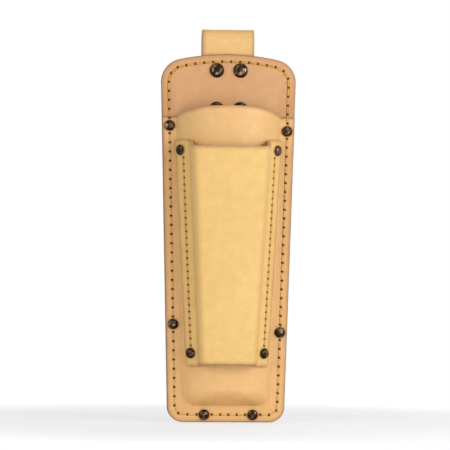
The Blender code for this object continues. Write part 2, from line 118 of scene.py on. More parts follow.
# Leather detail
EDGE_ROUND = 0.5 * MM
GROOVE_DEPTH = 0.28 * MM
GROOVE_WIDTH = 0.45 * MM
HOLE_DEPTH = 0.9 * MM
HOLE_RADIUS = 0.85 * MM
RIVET_SINK = 0.25 * MM
RIVET_SINK_WIDTH = 1.3 * MM
POUCH_CREASE_SMOOTHING = 7
POCKET_CREASE_SMOOTHING = 5
RIM_SHADE = 0.8  # how much darker the pouch's rim is painted than its moulding, as painted shade, as a share of a crease's painted shade
# Strength and reach of the painted shadow on the panel just over the pouch's mouth
MOUTH_SHADOW = 2
MOUTH_SHADOW_HEIGHT = 13 * MM
POUCH_CREASE_WIDTH = 1.4 * MM
POCKET_CREASE_WIDTH = 1.3 * MM

# Seams
SEAM_INSET = 4.8 * MM
SEAM_PITCH = 5.85 * MM
POCKET_PITCH = 4.35 * MM
SEAM_END_ROOM = 1.6 * MM  # between a rivet's cap and the first hole
THREAD_RADIUS = 0.52 * MM
THREAD_SINK = 0.10 * MM
THREAD_DEEP_SINK = 0.42 * MM  # on the pouch's rim and the front pocket
STITCH_ROOM = 0.11  # share of a stitch's length left open at each hole
THREAD_PLIES = 3
THREAD_PLY_DEPTH = 0.16
THREAD_TWIST_LENGTH = 2.6 * MM
THREAD_SIDES = 12
THREAD_STEPS = 14
RIM_STEP_LENGTH = 1.6 * MM  # over which a stitch drops from the pouch's rim to the panel

# Camera and room
VIEW_AZIMUTH = math.radians(-4)
VIEW_ROLL = math.radians(-0.54)
VIEW_DISTANCE = 2.5
VIEW_WIDTH = 292.5 * MM  # of the object's plane, across the frame
VIEW_AIM = Vector((-1.5 * MM, 0, 128 * MM))


# ---------------------------------------------------------------- the sheath's lines

SIDE_ANGLE = -math.atan(SIDE_TAPER)
SIDE_NORMAL = np.array([math.cos(SIDE_ANGLE), math.sin(SIDE_ANGLE)])
TOP_CENTRE = np.array([0.0, BACK_HEIGHT - TOP_EDGE_RADIUS])


def to_frame(points):
    """Sheath points moved into the frame."""
    return np.asarray(points, float) + np.array([0, PANEL_LOW.y, PANEL_LOW.z])


def side_x(inset, height):
    return FLOOR_HALF_WIDTH + SIDE_TAPER * height - inset / SIDE_NORMAL[0]


def shoulder_centre():
    start = np.array([side_x(SHOULDER_RADIUS, 0), 0.0])
    along = np.array([-SIDE_NORMAL[1], SIDE_NORMAL[0]])
    offset = start - TOP_CENTRE
    reach = TOP_EDGE_RADIUS - SHOULDER_RADIUS
    half_b = offset @ along
    travel = -half_b + math.sqrt(half_b**2 - offset @ offset + reach**2)
    return start + travel * along


SHOULDER_CENTRE = shoulder_centre()
SHOULDER_TURN = math.atan2(*(SHOULDER_CENTRE - TOP_CENTRE)[::-1])


def spread(count):
    """Shares from 0 up to, but without, 1."""
    return np.arange(count) / count


def around(centre, radius, angles):
    return centre + radius * np.stack([np.cos(angles), np.sin(angles)], 1)


def line(start, end, shares):
    return np.asarray(start) + shares[:, None] * (np.asarray(end) - np.asarray(start))


def lower_half(inset, floor, radius, top, counts):
    """The right half of a U from the middle of its floor up to top, each stretch in equal steps."""
    floor_steps, corner_steps, side_steps = counts
    centre = np.array([side_x(inset + radius, floor + radius), floor + radius])
    angles = -math.pi / 2 + spread(corner_steps) * (SIDE_ANGLE + math.pi / 2)
    corner_end = around(centre, radius, np.array([SIDE_ANGLE]))[0]
    end = np.array([side_x(inset, top), top])
    stretches = [
        line((0, floor), (centre[0], floor), spread(floor_steps)),
        around(centre, radius, angles),
        line(corner_end, end, np.append(spread(side_steps), 1)),
    ]
    return np.concatenate(stretches)


RIM_COUNTS = (60, 20, 390)


def back_half(inset):
    """The right half of the back's outline moved in by inset, from the floor's middle to the top's."""
    low = BOTTOM_CORNER_RADIUS
    start = lower_half(inset, inset, low - inset, POUCH_RIM_TOP, RIM_COUNTS)
    shoulder_steps, top_steps = 30, 64
    shoulder = SIDE_ANGLE + spread(shoulder_steps) * (SHOULDER_TURN - SIDE_ANGLE)
    arc = around(SHOULDER_CENTRE, SHOULDER_RADIUS - inset, shoulder)
    top = SHOULDER_TURN + np.append(spread(top_steps), 1) * (math.pi / 2 - SHOULDER_TURN)
    crown = around(TOP_CENTRE, TOP_EDGE_RADIUS - inset, top)
    return np.concatenate([start, line(start[-1], arc[0], spread(34))[1:], arc, crown])


def between(pair, share):
    return pair[0] + (pair[1] - pair[0]) * share


def pouch_depth(height):
    return between(POUCH_DEPTHS, (height - POUCH_FOOT) / (POUCH_MOUTH - POUCH_FOOT))


def dome(x, height):
    """Points on the pouch's inner face above its toe, and their outward normals."""
    x, height = np.broadcast_arrays(np.asarray(x, float), np.asarray(height, float))
    depth = pouch_depth(height)
    half_width = side_x(POUCH_RIM_WIDTH, height)
    share = np.abs(x) / half_width
    point = np.stack([x, RIM_BACK - depth * (1 - share**DOME_POWER), height], -1)
    across = np.sign(x) * DOME_POWER * depth * share ** (DOME_POWER - 1) / half_width
    deepening = (POUCH_DEPTHS[1] - POUCH_DEPTHS[0]) / (POUCH_MOUTH - POUCH_FOOT)
    upward = -deepening * (1 - share**DOME_POWER) - SIDE_TAPER * share * np.abs(across)
    normal = np.stack([across, -np.ones_like(across), upward], -1)
    return point, normal / np.linalg.norm(normal, axis=-1, keepdims=True)


def over_dome(x, height, lift):
    point, normal = dome(x, height)
    return point + np.asarray(lift)[..., None] * normal


def pocket_x(insets, share):
    ends = [side_x(POUCH_RIM_WIDTH + i, z) for i, z in zip(insets, (POCKET_BOTTOM, POCKET_TOP))]
    return between(ends, share)


# ---------------------------------------------------------------- materials


class Nodes:
    """Short calls that add and join a material's shader nodes."""

    def __init__(self, name):
        self.material = bpy.data.materials.new(name)
        self.material.use_nodes = True
        self.tree = self.material.node_tree
        self.shader = self.tree.nodes["Principled BSDF"]
        self.place = self.add("ShaderNodeTexCoord").outputs["Object"]

    def add(self, kind, **settings):
        node = self.tree.nodes.new(kind)
        for key, value in settings.items():
            setattr(node, key, value)
        return node

    def join(self, value, socket):
        if isinstance(value, bpy.types.NodeSocket):
            self.tree.links.new(value, socket)
        else:
            socket.default_value = value

    def noise(self, scale, detail=3, roughness=0.5, stretch=(1, 1, 1), distortion=0):
        mapping = self.add("ShaderNodeMapping")
        mapping.inputs["Scale"].default_value = stretch
        self.join(self.place, mapping.inputs["Vector"])
        node = self.add("ShaderNodeTexNoise")
        self.join(mapping.outputs["Vector"], node.inputs["Vector"])
        settings = {"Scale": scale, "Detail": detail, "Roughness": roughness, "Distortion": distortion}
        for key, value in settings.items():
            node.inputs[key].default_value = value
        return node.outputs["Fac"]

    def cells(self, scale):
        node = self.add("ShaderNodeTexVoronoi", feature="SMOOTH_F1")
        self.join(self.place, node.inputs["Vector"])
        node.inputs["Scale"].default_value = scale
        return node.outputs["Distance"]

    def attribute(self, name):
        return self.add("ShaderNodeAttribute", attribute_name=name).outputs["Fac"]

    def math(self, operation, a, b):
        node = self.add("ShaderNodeMath", operation=operation)
        self.join(a, node.inputs[0])
        self.join(b, node.inputs[1])
        return node.outputs[0]

    def range(self, value, low, high, to_low=0.0, to_high=1.0):
        node = self.add("ShaderNodeMapRange")
        settings = {"Value": value, "From Min": low, "From Max": high, "To Min": to_low, "To Max": to_high}
        for key, given in settings.items():
            self.join(given, node.inputs[key])
        return node.outputs["Result"]

    def mix(self, share, a, b, blend="MIX"):
        node = self.add("ShaderNodeMix", data_type="RGBA", blend_type=blend)
        self.join(share, node.inputs[0])
        self.join(a, node.inputs[6])
        self.join(b, node.inputs[7])
        return node.outputs[2]

    def bump(self, height, strength, distance, normal=None):
        node = self.add("ShaderNodeBump")
        node.inputs["Strength"].default_value = strength
        node.inputs["Distance"].default_value = distance
        self.join(height, node.inputs["Height"])
        if normal:
            self.join(normal, node.inputs["Normal"])
        return node.outputs["Normal"]

    def finish(self, **sockets):
        for name, value in sockets.items():
            self.join(value, self.shader.inputs[name.replace("_", " ")])
        return self.material


def rgb(red, green, blue):
    return (red, green, blue, 1)


# Painted shade: the dark inside stitch holes, in a ring round each rivet's seat, and on thread where it dips
# into a hole
HOLE_SHADE_COLOUR = rgb(0.085, 0.026, 0.007)


def grain_leather(name, light, deep, burnished, blotches=0.5):
    """Smooth vegetable-tanned leather: cloudy tone, fine pores, cut edges darker from burnish and painted
    shade, and painted shade in folds and holes.
    """
    n = Nodes(name)
    cloud = n.range(n.noise(22, 4, 0.55, distortion=0.4), 0.3, 0.7)
    colour = n.mix(n.math("MULTIPLY", cloud, blotches), light, deep)
    mottle = n.range(n.noise(170, 5, 0.65), 0.35, 0.75, 0.93, 1.04)
    colour = n.mix(1.0, colour, mottle, "MULTIPLY")
    veins = n.range(n.noise(46, 6, 0.6, stretch=(1, 1, 0.35), distortion=1.5), 0.5, 0.53, 0.0, 0.10)
    colour = n.mix(veins, colour, deep)
    pores = n.cells(1500)
    colour = n.mix(n.range(pores, 0.05, 0.3, 0.14, 0.0), colour, burnished)
    # Darker grain near the cut edges: burnish, and painted shade where the edge rounds away
    edge = n.math("MULTIPLY", n.attribute("edge"), n.range(n.noise(90, 3), 0.3, 0.7, 0.55, 1.0))
    colour = n.mix(n.math("MULTIPLY", edge, 0.75), colour, burnished)
    # Painted shade: darker in the moulded creases, over the pouch's rim and over the pouch's mouth
    crease = n.math("MULTIPLY", n.attribute("crease"), 0.16)
    colour = n.mix(crease, colour, burnished)
    # Painted shade in the stitch holes and round the rivets' seats
    colour = n.mix(n.attribute("hole"), colour, HOLE_SHADE_COLOUR)
    roughness = n.range(n.noise(60, 4), 0.3, 0.7, 0.40, 0.54)
    wrinkles = n.noise(420, 4, 0.6, stretch=(1, 1, 0.7), distortion=0.6)
    normal = n.bump(n.noise(38, 3), 0.35, 0.6 * MM)
    normal = n.bump(wrinkles, 0.3, 0.12 * MM, normal)
    normal = n.bump(pores, 0.35, 0.1 * MM, normal)
    gloss = n.range(n.attribute("hole"), 0.0, 0.5, 0.35, 0.0)
    return n.finish(Base_Color=colour, Roughness=roughness, Normal=normal, Specular_IOR_Level=gloss)


def flesh_leather(name, light, deep):
    """The leather's rough inner side."""
    n = Nodes(name)
    colour = n.mix(n.range(n.noise(35, 4), 0.3, 0.7), light, deep)
    fibres = n.noise(900, 5, 0.75, stretch=(1, 1, 0.4), distortion=2)
    colour = n.mix(n.range(fibres, 0.35, 0.7, 0.35, 0.0), colour, deep)
    colour = n.mix(n.attribute("hole"), colour, HOLE_SHADE_COLOUR)
    normal = n.bump(fibres, 0.7, 0.25 * MM)
    normal = n.bump(n.noise(2600, 3, 0.7), 0.5, 0.1 * MM, normal)
    n.finish(Roughness=0.92, Sheen_Weight=0.25, Specular_IOR_Level=0.2)
    return n.finish(Base_Color=colour, Normal=normal)


def edge_leather(name, light, deep):
    """The cut edge: layered fibres, burnished and darker."""
    n = Nodes(name)
    layers = n.noise(600, 4, 0.7, stretch=(0.3, 3, 0.3))
    colour = n.mix(n.range(layers, 0.3, 0.7), light, deep)
    colour = n.mix(n.range(n.noise(120, 4), 0.45, 0.7, 0.0, 0.5), colour, deep)
    normal = n.bump(layers, 0.5, 0.15 * MM)
    return n.finish(Base_Color=colour, Roughness=n.range(layers, 0.3, 0.7, 0.38, 0.6), Normal=normal)


def antique_nickel(name):
    """Dark plated steel in rubbed, patchy tones, darker towards each cap's rim than on its crown."""
    n = Nodes(name)
    patina = n.range(n.noise(380, 3, 0.6), 0.48, 0.66)
    colour = n.mix(patina, rgb(0.030, 0.017, 0.010), rgb(0.22, 0.145, 0.085))
    # Darker towards each cap's rim and underside
    colour = n.mix(n.attribute("edge"), colour, rgb(0.015, 0.009, 0.006))
    scratches = n.noise(1500, 3, 0.6, stretch=(1, 0.1, 0.2))
    normal = n.bump(scratches, 0.15, 0.03 * MM)
    normal = n.bump(n.noise(420, 2), 0.3, 0.12 * MM, normal)
    roughness = n.range(n.noise(800, 4), 0.3, 0.7, 0.10, 0.24)
    return n.finish(Base_Color=colour, Metallic=1.0, Roughness=roughness, Normal=normal)


def waxed_thread(name, light, deep):
    n = Nodes(name)
    colour = n.mix(n.range(n.noise(300, 4), 0.3, 0.7), light, deep)
    fibres = n.noise(3000, 3, 0.6, stretch=(1, 1, 0.5))
    colour = n.mix(n.range(fibres, 0.4, 0.7, 0.3, 0.0), colour, deep)
    # Painted shade on the thread where it dips into a hole
    colour = n.mix(n.attribute("hole"), colour, HOLE_SHADE_COLOUR)
    gloss = n.range(n.attribute("hole"), 0.0, 0.5, 0.3, 0.0)
    normal = n.bump(fibres, 0.4, 0.05 * MM)
    return n.finish(Base_Color=colour, Roughness=0.6, Normal=normal, Specular_IOR_Level=gloss)


# Darker brown for pores and burnished edges, also used for the painted shade in creases, on the rim and over
# the mouth
BURNISH_AND_SHADE = rgb(0.42, 0.20, 0.085)
FLESH = flesh_leather("flesh_side", rgb(0.66, 0.42, 0.24), rgb(0.50, 0.28, 0.14))
CUT_EDGE = edge_leather("cut_edge", rgb(0.36, 0.18, 0.08), rgb(0.20, 0.095, 0.04))
LIP_EDGE = edge_leather("lip_edge", rgb(0.66, 0.41, 0.20), rgb(0.48, 0.26, 0.11))
POUCH_GRAIN = grain_leather("pouch_grain", rgb(0.83, 0.505, 0.205), rgb(0.76, 0.43, 0.165), BURNISH_AND_SHADE)
POCKET_GRAIN = grain_leather("pocket_grain", rgb(0.83, 0.54, 0.19), rgb(0.78, 0.48, 0.16), BURNISH_AND_SHADE)
PANEL_GRAIN = grain_leather("panel_grain", rgb(0.69, 0.375, 0.175), rgb(0.60, 0.31, 0.135), BURNISH_AND_SHADE)
STRAP_GRAIN = grain_leather("strap_grain", rgb(0.83, 0.52, 0.205), rgb(0.77, 0.45, 0.165), BURNISH_AND_SHADE)
NICKEL = antique_nickel("antique_nickel")
THREAD = waxed_thread("golden_thread", rgb(0.80, 0.46, 0.09), rgb(0.58, 0.28, 0.04))
PALE_THREAD = waxed_thread("pale_thread", rgb(0.80, 0.50, 0.19), rgb(0.66, 0.36, 0.11))


# ---------------------------------------------------------------- leather sheets


def grid_faces(rows, columns, offset=0):
    index = np.arange(rows * columns).reshape(rows, columns) + offset
    corners = [index[:-1, :-1], index[:-1, 1:], index[1:, 1:], index[1:, :-1]]
    return np.stack([c.ravel() for c in corners], 1)


def both_halves(grid):
    """A right half's grid and its mirror image, as (points, faces)."""
    rows, columns = grid.shape[:2]
    points = grid.reshape(-1, 3)
    faces = grid_faces(rows, columns)
    mirrored = points * np.array([-1, 1, 1])
    return np.concatenate([points, mirrored]), np.concatenate([faces, faces[:, ::-1] + len(points)])


def smooth_rows(grid, crease, times):
    """Rounds the crease at a row by averaging the rows around it with their neighbours."""
    first, last = crease - 3, crease + 4
    for _ in range(times):
        before, after = grid[first - 1 : last - 1], grid[first + 1 : last + 1]
        grid[first:last] = (before + 2 * grid[first:last] + after) / 4
    return grid


def welded(points, faces, facing):
    """A bmesh of the points with doubles merged, its faces turned towards facing."""
    bm = bmesh.new()
    vertices = [bm.verts.new(p) for p in points]
    for face in faces:
        bm.faces.new([vertices[i] for i in face])
    bmesh.ops.remove_doubles(bm, verts=bm.verts, dist=2e-6)
    bmesh.ops.recalc_face_normals(bm, faces=bm.faces)
    if sum(f.normal.dot(facing) * f.calc_area() for f in bm.faces) < 0:
        bmesh.ops.reverse_faces(bm, faces=bm.faces)
    bm.normal_update()
    bm.verts.index_update()
    return bm


class Dents:
    """What is pressed into a sheet's grain: holes, the groove between them, and rivets' seats."""

    def __init__(self):
        self.holes, self.grooves, self.rivets = [], [], []


def pushed_in(points, dents):
    """How deep each point is pressed in, and how much painted shade it takes inside a hole or in the ring
    round a rivet's seat.
    """
    depth, dark = np.zeros(len(points)), np.zeros(len(points))
    tree = kdtree.KDTree(len(points))
    for i, p in enumerate(points):
        tree.insert(p, i)
    tree.balance()
    for centre in dents.grooves:
        for _, i, d in tree.find_range(centre, 3 * GROOVE_WIDTH):
            depth[i] = max(depth[i], GROOVE_DEPTH * math.exp(-((d / GROOVE_WIDTH) ** 2)))
    for centre in dents.holes:
        for _, i, d in tree.find_range(centre, 3 * HOLE_RADIUS):
            depth[i] = max(depth[i], HOLE_DEPTH * math.exp(-((d / HOLE_RADIUS) ** 4)))
            dark[i] = max(dark[i], math.exp(-((d / (1.12 * HOLE_RADIUS)) ** 6)))
    for centre, radius in dents.rivets:
        reach = radius + RIVET_SINK_WIDTH
        for _, i, d in tree.find_range(centre, reach):
            share = min(1, max(0, (reach - d) / RIVET_SINK_WIDTH))
            depth[i] = max(depth[i], RIVET_SINK * share * share * (3 - 2 * share))
            # Painted shade: a dark ring round each rivet's seat
            ring = math.exp(-(((d - radius) / (0.35 * MM)) ** 2))
            dark[i] = max(dark[i], 0.45 * ring)
    return depth, dark


def boundary_outwards(bm):
    """For each vertex on the sheet's edge, the direction that leaves the sheet in its own surface."""
    out = {}
    for edge in bm.edges:
        if len(edge.link_faces) != 1:
            continue
        a, b = edge.verts
        along = (b.co - a.co).normalized()
        middle = (a.co + b.co) / 2
        away = middle - edge.link_faces[0].calc_center_median()
        away -= away.dot(along) * along
        for vertex in edge.verts:
            out.setdefault(vertex.index, Vector())
            out[vertex.index] += away.normalized()
    return {i: v.normalized() for i, v in out.items()}


EDGE_PROFILE = ((0.10, 0.62), (0.25, 0.92), (0.5, 1.0), (0.75, 0.92), (0.90, 0.62))
EDGE_SHADE_WIDTH = 1.3 * MM


GRAIN, FLESH_SIDE, OUTLINE, LIP = range(4)  # a sheet's material slots


def paint(mesh, **masks):
    """Stores each mask on the mesh, one value a point."""
    for label, values in masks.items():
        layer = mesh.attributes.new(label, "FLOAT", "POINT")
        layer.data.foreach_set("value", np.asarray(values, np.float32))


def edge_shade(inner, outward):
    """1 at the sheet's cut edge, falling to 0 inside it."""
    tree = kdtree.KDTree(len(outward))
    for i in outward:
        tree.insert(inner[i], i)
    tree.balance()
    near = np.array([tree.find(p)[2] for p in inner])
    return np.exp(-((near / EDGE_SHADE_WIDTH) ** 2))


def rolled_rim(outer, inner, outward):
    """The rounded cut edge's points, and the vertex of each layer across it by edge vertex."""
    order = sorted(outward)
    layers, points = [], []
    for share, bulge in EDGE_PROFILE:
        start = 2 * len(inner) + len(points)
        layers.append({i: start + k for k, i in enumerate(order)})
        for i in order:
            middle = outer[i] * (1 - share) + inner[i] * share
            points.append(middle + np.array(outward[i]) * EDGE_ROUND * bulge)
    first = {i: i for i in order}
    last = {i: i + len(inner) for i in order}
    return np.array(points), [first, *layers, last]


def rim_faces(bm, layers, inner, lip_above):
    """The cut edge's faces and each one's material slot."""
    faces, kinds = [], []
    for edge in bm.edges:
        if len(edge.link_faces) != 1:
            continue
        loop = edge.link_loops[0]
        a, b = loop.vert.index, loop.link_loop_next.vert.index
        is_lip = min(inner[a][2], inner[b][2]) > lip_above
        for upper, lower in zip(layers, layers[1:]):
            faces.append([upper[b], upper[a], lower[a], lower[b]])
            kinds.append(LIP if is_lip else OUTLINE)
    return faces, kinds


def leather(
    name, sheet, facing, thickness, materials, node, slot, dents=None, painted_shade=None, lip_above=1.0
):
    """A leather sheet: its grain side lies a thickness off the given surface, towards facing."""
    points, faces = sheet
    bm = welded(to_frame(points), faces, Vector(facing))
    inner = np.array([v.co for v in bm.verts])
    normals = np.array([v.normal for v in bm.verts])
    outer = inner + normals * thickness
    hole = np.zeros(len(inner))
    if dents:
        depth, hole = pushed_in(outer, dents)
        outer -= normals * depth[:, None]
    outward = boundary_outwards(bm)
    rim, layers = rolled_rim(outer, inner, outward)
    grain = [[v.index for v in f.verts] for f in bm.faces]
    flesh = [[i + len(inner) for i in reversed(f)] for f in grain]
    cut, kinds = rim_faces(bm, layers, inner, lip_above)
    bm.free()
    mesh = bpy.data.meshes.new(name)
    mesh.from_pydata(np.concatenate([outer, inner, rim]).tolist(), [], grain + flesh + cut)
    edge = edge_shade(inner, outward)
    # The mask of painted shade in creases, on the rim and over the mouth
    crease = painted_shade(inner) if painted_shade else np.zeros(len(inner))
    plain = np.zeros(len(rim))
    paint(
        mesh,
        hole=np.concatenate([hole, 0 * hole, plain]),
        edge=np.concatenate([edge, edge, plain + 1]),
        crease=np.concatenate([crease, crease, plain]),
    )
    for material in materials:
        mesh.materials.append(material)
    kinds = [GRAIN] * len(grain) + [FLESH_SIDE] * len(flesh) + kinds
    mesh.polygons.foreach_set("material_index", np.array(kinds, np.int32))
    mesh.shade_smooth()
    return show(name, mesh, node)


def show(name, mesh, node):
    """Puts a finished mesh in the scene, standing for its CAD node."""
    mesh.validate()
    obj = bpy.data.objects.new(name, mesh)
    bpy.context.scene.collection.objects.link(obj)
    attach(obj, BODY)
    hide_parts(node)
    return obj


# ---------------------------------------------------------------- rivets: places and axes


class Rivet:
    """A double-cap rivet's place, from its two CAD nodes."""

    def __init__(self, name):
        self.name = name
        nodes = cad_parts
        self.cap_points = np.array([v.co for v in nodes[name + "_cap"].data.vertices])
        self.post_points = np.array([v.co for v in nodes[name + "_post"].data.vertices])
        self.axis = self.turning_axis()
        along = self.cap_points @ self.axis
        self.seat = self.on_axis(along.min())
        self.cap_height = along.max() - along.min()
        self.cap_radius = self.radius_of(self.cap_points)
        self.back_end = (self.post_points @ self.axis).min()
        self.base_radius = self.radius_of(self.post_points)

    def turning_axis(self):
        """The line through both nodes' middles, which lie on the rivet's own axis."""
        if self.name.startswith("pocket"):
            middle = self.cap_points.mean(0) - self.post_points.mean(0)
            return middle / np.linalg.norm(middle)
        return np.array([0.0, -1.0, 0.0])

    def on_axis(self, along):
        middle = self.cap_points.mean(0)
        return middle + (along - middle @ self.axis) * self.axis

    def radius_of(self, points):
        offset = points - self.on_axis(0)
        return np.linalg.norm(offset - np.outer(offset @ self.axis, self.axis), axis=1).max()


RIVET_NAMES = [n[: -len("_cap")] for n in sorted(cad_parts) if n.endswith("_cap")]
RIVETS = {name: Rivet(name) for name in RIVET_NAMES}


def rivets_named(start):
    return [r for n, r in RIVETS.items() if n.startswith(start)]


# ---------------------------------------------------------------- seams: holes and stitches


def along_line(points):
    return np.concatenate([[0], np.cumsum(np.linalg.norm(np.diff(points, axis=0), axis=1))])


def at_lengths(points, lengths):
    total = along_line(points)
    return np.stack([np.interp(lengths, total, points[:, k]) for k in range(points.shape[1])], 1)


def outer_seam_loop():
    """The outer seam's closed line in the flat, anticlockwise from the floor's middle."""
    right = back_half(SEAM_INSET)
    left = right[::-1] * np.array([-1, 1])
    return np.concatenate([right, left[1:]])


SEAM_ORDER = ["bottom_right", "mid_right", "top_right", "top_left", "mid_left", "bottom_left"]


def seam_runs():
    """Flat hole places of each run of the outer seam, by the names of the rivets that end it."""
    loop = outer_seam_loop()
    twice = np.concatenate([loop, loop[1:]])
    total = along_line(twice)
    length = total[len(loop) - 1]
    spots = []
    for name in SEAM_ORDER:
        rivet = RIVETS["seam_rivet_" + name]
        flat = np.array([rivet.seat[0], rivet.seat[2] - PANEL_LOW.z])
        spots.append(total[np.linalg.norm(loop - flat, axis=1).argmin()])
    runs = {}
    room = RIVETS["seam_rivet_mid_left"].cap_radius + SEAM_END_ROOM
    for i, name in enumerate(SEAM_ORDER):
        follower = SEAM_ORDER[(i + 1) % len(SEAM_ORDER)]
        start, end = spots[i] + room, spots[(i + 1) % len(SEAM_ORDER)] - room
        end += length if end < start else 0
        count = round((end - start) / SEAM_PITCH)
        runs[name, follower] = at_lengths(twice, np.linspace(start, end, count + 1))
    return runs


SEAM_RUNS = seam_runs()
RIM_FACE = RIM_BACK - POUCH_THICKNESS


def is_on_rim(flat):
    return flat[:, 1] < POUCH_RIM_TOP


def holes_in_front(flat):
    """Where the outer seam's holes open on the front, on the pouch's rim or above it on the panel."""
    depth = np.where(is_on_rim(flat), RIM_FACE, 0.0)
    return np.stack([flat[:, 0], depth, flat[:, 1]], 1)


def holes_behind(flat):
    return np.stack([flat[:, 0], np.full(len(flat), LINER_BACK), flat[:, 1]], 1)


def pocket_holes(side, lift):
    """The front pocket's seam on one side, at a distance over the pouch's inner face, with normals."""
    rivet = RIVETS["pocket_rivet_bottom_left"]
    room = rivet.cap_radius + SEAM_END_ROOM
    low = POCKET_BOTTOM + POCKET_RIVET_ENDS[0] + room
    high = POCKET_TOP - POCKET_RIVET_ENDS[1] - room
    heights = np.linspace(low, high, round((high - low) / POCKET_PITCH) + 1)
    share = (heights - POCKET_BOTTOM) / (POCKET_TOP - POCKET_BOTTOM)
    point, normal = dome(side * pocket_x(POCKET_SEAM_INSETS, share), heights)
    return point + lift * normal, normal


def groove_points(holes):
    """Points every half groove width along a line of holes."""
    total = along_line(holes)
    return at_lengths(holes, np.arange(0, total[-1], GROOVE_WIDTH / 2))


def stitch_path(start, end, normals, step_height, sink):
    """The middle line of one stitch, out of one hole and into the next."""
    share = np.linspace(0, 1, THREAD_STEPS)
    rise = 1 - np.abs(2 * share - 1) ** 5
    path = start + (STITCH_ROOM + (1 - 2 * STITCH_ROOM) * share)[:, None] * (end - start)
    normal = normals[0] + share[:, None] * (normals[1] - normals[0])
    lift = -0.9 * HOLE_DEPTH + rise * (0.9 * HOLE_DEPTH + THREAD_RADIUS - sink)
    if abs(start[1] - end[1]) > POUCH_THICKNESS / 2:
        past = np.clip((path[:, 2] - step_height) / RIM_STEP_LENGTH, 0, 1)
        path[:, 1] = RIM_FACE * (1 - past * past * (3 - 2 * past))
    return path + lift[:, None] * normal, lift


def twisted_tube(path, shade, phase):
    """Points and faces of a plied thread along a path: three lobes that turn as they go."""
    count = len(path)
    tangent = np.gradient(path, axis=0)
    tangent /= np.linalg.norm(tangent, axis=1, keepdims=True)
    across = np.cross(tangent, np.array([0.0, 1.0, 0.0]))
    across /= np.maximum(np.linalg.norm(across, axis=1, keepdims=True), 1e-9)
    up = np.cross(across, tangent)
    turn = phase + 2 * math.pi * along_line(path) / THREAD_TWIST_LENGTH
    angles = 2 * math.pi * spread(THREAD_SIDES)
    lobes = 1 + THREAD_PLY_DEPTH * np.cos(THREAD_PLIES * (angles[None, :] - turn[:, None]))
    radius = THREAD_RADIUS * lobes
    ring = np.cos(angles)[None, :, None] * across[:, None, :]
    ring = ring + np.sin(angles)[None, :, None] * up[:, None, :]
    points = path[:, None, :] + radius[:, :, None] * ring
    index = np.arange(count * THREAD_SIDES).reshape(count, THREAD_SIDES)
    follow = np.roll(index, -1, 1)
    sides = np.stack([index[:-1], follow[:-1], follow[1:], index[1:]], -1).reshape(-1, 4)
    faces = [list(f) for f in sides] + [list(index[0][::-1]), list(index[-1])]
    return points.reshape(-1, 3), faces, np.repeat(shade, THREAD_SIDES)


def stitches(name, holes, normals, node, step_height=1.0, sink=THREAD_SINK, material=THREAD):
    """One run of a seam, every stitch a piece of twisted thread that dips into its two holes."""
    points, faces, shades = [], [], []
    offset = 0
    for i, (start, end) in enumerate(zip(holes, holes[1:])):
        own_sink = THREAD_SINK if start[2] > step_height else sink
        path, lift = stitch_path(start, end, normals[i : i + 2], step_height, own_sink)
        shade = np.clip(-lift / HOLE_DEPTH, 0, 1)
        tube, sides, dark = twisted_tube(to_frame(path), shade, 1.7 * i)
        points.append(tube)
        shades.append(dark)
        faces += [[k + offset for k in f] for f in sides]
        offset += len(tube)
    mesh = bpy.data.meshes.new(name)
    mesh.from_pydata(np.concatenate(points).tolist(), [], faces)
    paint(mesh, hole=np.concatenate(shades))
    mesh.materials.append(material)
    mesh.shade_smooth()
    return show(name, mesh, node)


# ---------------------------------------------------------------- the leather pieces

# Rows in from the edge, closest at the seam
RIM_MM = (0.5, 0.75, 1.2, 1.9, 2.7, 3.4, 3.8, 4.1, 4.35, 4.58, 4.8, 5.02, 5.25, 5.5, 5.8, 6.3)
RIM_INSETS = [i * MM for i in RIM_MM]
PANEL_INSETS = RIM_INSETS + [7.2 * MM, 8.4 * MM]
FRONT = (0, -1, 0)
BACK = (0, 1, 0)


def ply_surface(depth):
    """A flat ply's points and faces: a fine border round its outline, and one face inside it."""
    rows = []
    for inset in PANEL_INSETS:
        half = back_half(inset)
        loop = np.concatenate([half[:-1], half[::-1][:-1] * np.array([-1, 1])])
        rows.append(np.stack([loop[:, 0], np.full(len(loop), depth), loop[:, 1]], 1))
    grid = np.array(rows)
    count = grid.shape[1]
    index = np.arange(grid.shape[0] * count).reshape(grid.shape[:2])
    follow = np.roll(index, -1, 1)
    faces = np.stack([index[:-1], follow[:-1], follow[1:], index[1:]], -1).reshape(-1, 4)
    return grid.reshape(-1, 3), [list(f) for f in faces] + [list(index[-1])]


def add_seam(dents, holes):
    dents.holes += list(to_frame(holes))
    for a, b in zip(holes, holes[1:]):
        dents.grooves += list(groove_points(to_frame(np.array([a, b]))))


def mouth_shadow(points):
    """Painted shadow on the panel just over the pouch's mouth, where the pouch's lip shades it."""
    past = points[:, 2] - PANEL_LOW.z - POUCH_MOUTH
    return MOUTH_SHADOW * np.exp(-((past / MOUTH_SHADOW_HEIGHT) ** 2))


def make_back_panel():
    sheet = ply_surface(PANEL_THICKNESS)
    dents = Dents()
    for flat in SEAM_RUNS.values():
        add_seam(dents, holes_in_front(flat[~is_on_rim(flat)]))
    dents.rivets = [(r.seat, r.cap_radius) for r in rivets_named("strap_rivet")]
    materials = [PANEL_GRAIN, FLESH, CUT_EDGE]
    piece = ("back_panel", "panel_leather")
    # The panel's crease mask carries the painted shadow over the pouch's mouth
    leather("panel_ply", sheet, FRONT, PANEL_THICKNESS, materials, *piece, dents, mouth_shadow)


def make_back_liner():
    sheet = ply_surface(LINER_BACK - LINER_THICKNESS)
    dents = Dents()
    for flat in SEAM_RUNS.values():
        add_seam(dents, holes_behind(flat))
    materials = [PANEL_GRAIN, FLESH, CUT_EDGE]
    piece = ("back_liner", "liner_leather")
    leather("liner_ply", sheet, BACK, LINER_THICKNESS, materials, *piece, dents)


WALL_STEPS = 4
DOME_ROWS = 40


